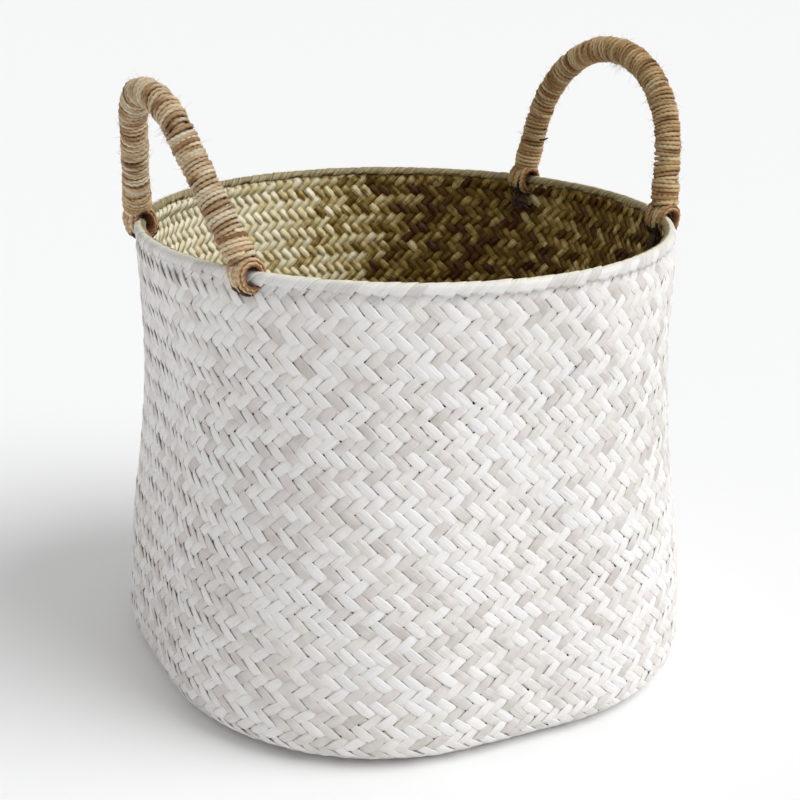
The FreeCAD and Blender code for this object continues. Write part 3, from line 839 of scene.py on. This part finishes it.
def twine(name, stops, sheen):
    """Plied natural twine: slanting fibres, with brown painted shade where the turns meet, and painted
    shade over the whole handle on one side.
    """
    nodes = Nodes(name)
    fibres = nodes.noise(nodes.place((1700, 170, 0)), 1.0, 4.0, 0.75)
    shown = nodes.add("ShaderNodeSeparateXYZ", {0: nodes.place((1, 1, 1))}).outputs["Z"]
    tone = nodes.tone()
    patch = nodes.noise(nodes.object_place(), 120.0, 3.0)
    mixed = nodes.math("ADD", nodes.math("MULTIPLY", tone, 0.55), nodes.math("MULTIPLY", fibres, 0.62))
    mixed = nodes.math("ADD", mixed, nodes.math("MULTIPLY", patch, 0.22))
    # painted shade: darker where a turn faces in towards the cane and in the groove between the strands,
    # where the turns meet and shade one another
    deep = nodes.ramp(
        nodes.math("ADD", nodes.math("MULTIPLY", shown, 0.5), 0.5),
        [(0.30, (0.34, 0.19, 0.10)), (0.62, (0.75, 0.60, 0.44)), (0.85, (1, 1, 1))],
    )
    shaded = nodes.mix(1.0, nodes.ramp(mixed, stops), deep, "MULTIPLY")
    # painted shade: the handle on one side is coloured darker and browner, standing in for its shade on the
    # side away from the key light
    side = nodes.add("ShaderNodeSeparateXYZ", {0: nodes.object_place()}).outputs["X"]
    shaded_handle_mask = nodes.add("ShaderNodeMapRange", {0: side, 1: -0.02, 2: 0.02, 3: 0.0, 4: 1.0})
    shaded_handle_colour = nodes.mix(1.0, shaded, (0.79, 0.70, 0.53, 1), "MULTIPLY")
    nodes.join(nodes.mix(shaded_handle_mask.outputs[0], shaded, shaded_handle_colour), "Base Color")
    nodes.join(nodes.bump(fibres, 0.0007, 1.0), "Normal")
    nodes.set(Roughness=0.85, Sheen_Weight=sheen, Sheen_Roughness=0.4)
    return nodes.material


def plain_fibre(name, scale, dark_tone, pale_tone, relief, strength, roughness):
    """The hidden cores: one grainy colour with a little relief."""
    nodes = Nodes(name)
    grain = nodes.noise(nodes.object_place(), scale, 4.0)
    nodes.join(nodes.ramp(grain, [(0.3, dark_tone), (0.7, pale_tone)]), "Base Color")
    nodes.join(nodes.bump(grain, relief, strength), "Normal")
    nodes.set(Roughness=roughness)
    return nodes.material


def floor_material():
    """Matt, nearly white."""
    nodes = Nodes("pale_floor")
    nodes.set(Base_Color=(0.93, 0.93, 0.93, 1), Roughness=0.8, Specular_IOR_Level=0.2)
    return nodes.material


def paint_node(name, material):
    """Give a piece that stays as the CAD made it a material."""
    mesh = frame["nodes"][name].data
    mesh.materials.clear()
    mesh.materials.append(material)


# ---- floor, lights and camera ----------------------------------------------------------------------------


def studio():
    """A pale floor and an even pale sky."""
    bpy.ops.mesh.primitive_plane_add(size=FLOOR_SIZE, location=(0, 0, FLOOR_HEIGHT))
    floor = bpy.context.object
    floor.name = "floor"
    floor.data.materials.append(floor_material())
    world = bpy.data.worlds.new("studio")
    bpy.context.scene.world = world
    world.use_nodes = True
    # the sky lights the object softly, and its picture behind the floor is as pale as the floor
    nodes, links = world.node_tree.nodes, world.node_tree.links
    light = nodes["Background"]
    light.inputs["Strength"].default_value = SKY_LIGHT
    seen = nodes.new("ShaderNodeBackground")
    seen.inputs["Strength"].default_value = SKY_SEEN
    for sky in (light, seen):
        sky.inputs["Color"].default_value = (1, 1, 1, 1)
    choice = nodes.new("ShaderNodeMixShader")
    links.new(nodes.new("ShaderNodeLightPath").outputs["Is Camera Ray"], choice.inputs[0])
    links.new(light.outputs[0], choice.inputs[1])
    links.new(seen.outputs[0], choice.inputs[2])
    links.new(choice.outputs[0], nodes["World Output"].inputs["Surface"])


def soft_sun(name, azimuth, elevation, spread, power, colour):
    """An even light from one direction, as soft as a disc of sky spread wide."""
    data = bpy.data.lights.new(name, "SUN")
    data.angle = spread
    data.energy = power
    data.color = colour
    lamp = bpy.data.objects.new(name, data)
    back = Vector((math.sin(azimuth), -math.cos(azimuth), math.tan(elevation)))
    lamp.rotation_euler = back.to_track_quat("Z", "Y").to_euler()
    bpy.context.scene.collection.objects.link(lamp)


def camera(target, azimuth, elevation, distance, lens, roll, shift):
    """A camera that looks at target, and is shifted a little so the object sits in the middle."""
    back = Vector(
        (
            math.sin(azimuth) * math.cos(elevation),
            -math.cos(azimuth) * math.cos(elevation),
            math.sin(elevation),
        )
    )
    data = bpy.data.cameras.new("camera")
    data.sensor_width = 36
    data.lens = lens
    data.shift_x, data.shift_y = shift
    data.clip_start = 0.01
    view = bpy.data.objects.new("camera", data)
    view.location = target + back * distance
    turn = (-back).to_track_quat("-Z", "Y").to_matrix()
    view.rotation_euler = (turn @ Matrix.Rotation(roll, 3, "Z")).to_euler()
    bpy.context.scene.collection.objects.link(view)
    bpy.context.scene.camera = view


# ---- putting it together ------------------------------------------------------------------------------

white = painted_seagrass()
natural = natural_seagrass("natural_seagrass")
jute = twine(
    "jute_twine",
    [(0.42, (0.25, 0.115, 0.04)), (0.57, (0.53, 0.33, 0.155)), (0.70, (0.76, 0.575, 0.355)),
     (0.88, (0.95, 0.86, 0.66))],
    0.12,
)
dark = twine(
    "dark_twine",
    [(0.45, (0.020, 0.011, 0.010)), (0.66, (0.060, 0.034, 0.022)), (0.88, (0.15, 0.105, 0.05))],
    0.05,
)

# steps is how many rings of points a strip has for each crossing
outer = plaited_layer("outer", steps=2.55, section=FLAT_SECTION, material=white, seed=11)
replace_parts(outer[0], "outer_weave")
inner = plaited_layer("inner", steps=2, section=PLAIN_SECTION, material=natural, seed=23)
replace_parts(inner[0], "inner_weave")
rim = folded_rim(rim_seagrass(), seed=31)
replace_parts(rim, "rim_fold")
cord = plain_fibre("rim_cord", 260.0, (0.22, 0.17, 0.08), (0.46, 0.39, 0.20), 0.0004, 0.6, 0.6)
paint_node("rim_core", cord)

cane = plain_fibre("cane", 300.0, (0.40, 0.27, 0.13), (0.60, 0.45, 0.26), 0.0003, 0.4, 0.5)
for handle_side, seed in (("left", 41), ("right", 43)):
    handle = Handle(handle_side)
    twine_source = np.random.default_rng(seed)
    wound_twine(handle, jute, twine_source)
    # the front foot is at the joint axis's far end on the left handle and its near end on the right
    front = 1 if handle_side == "left" else -1
    for foot_name, foot_sign in (("front", front), ("rear", -front)):
        whipping(handle, foot_name, foot_sign > 0, jute, twine_source)
        middle_along = foot_sign * handle.half_span
        eye(handle, foot_name, middle_along, {"dark": dark, "jute": jute}, twine_source)
        knot(handle, foot_name, dark, twine_source)
    if handle_side == "right":
        fuzz(handle, jute, twine_source, (handle.length * 0.47, math.pi))
        twine_stub(handle, handle.length - 0.026, math.pi, dark)
    else:
        fuzz(handle, jute, twine_source)
    paint_node(f"{handle_side}_handle_core", cane)

studio()
bpy.context.scene.view_settings.view_transform = "Standard"
middle = Vector((0, 0, 0.1546))
soft_sun(
    "key",
    azimuth=VIEW_AZIMUTH + math.radians(74),
    elevation=math.radians(46),
    spread=math.radians(44),
    power=2.15,
    colour=(0.98, 0.99, 1.0),
)
camera(
    target=middle,
    azimuth=VIEW_AZIMUTH,
    elevation=math.radians(20.5),
    distance=1.055,
    lens=66.24,
    roll=math.radians(0.8),
    shift=(-0.0029, 0.035),
)
